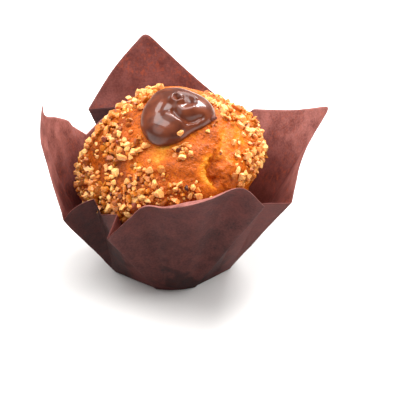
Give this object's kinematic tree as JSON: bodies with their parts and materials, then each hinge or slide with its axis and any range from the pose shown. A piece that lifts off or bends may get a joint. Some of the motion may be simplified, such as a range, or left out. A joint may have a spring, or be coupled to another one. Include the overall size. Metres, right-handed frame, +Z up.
{
  "type": "muffin in a paper case",
  "caption": "Domed muffin rolled in chopped nuts with a spoonful of cream on top, in a folded paper tulip case whose corners stand up as petals.",
  "frame": {"origin": "centre of the flat base of the case", "axes": "+Z up out of the case, -Y toward the front petal, +X toward the right petal"},
  "size_m": [0.1158, 0.1207, 0.0819],
  "materials": {
    "baking_paper": "matte greaseproof",
    "baked_crumb": "baked, slightly glossy",
    "cream": "glossy"
  },
  "bodies": {
    "root": {"tulip_case": "baking_paper", "muffin": "baked_crumb", "cream": "cream"}
  },
  "joints": []
}
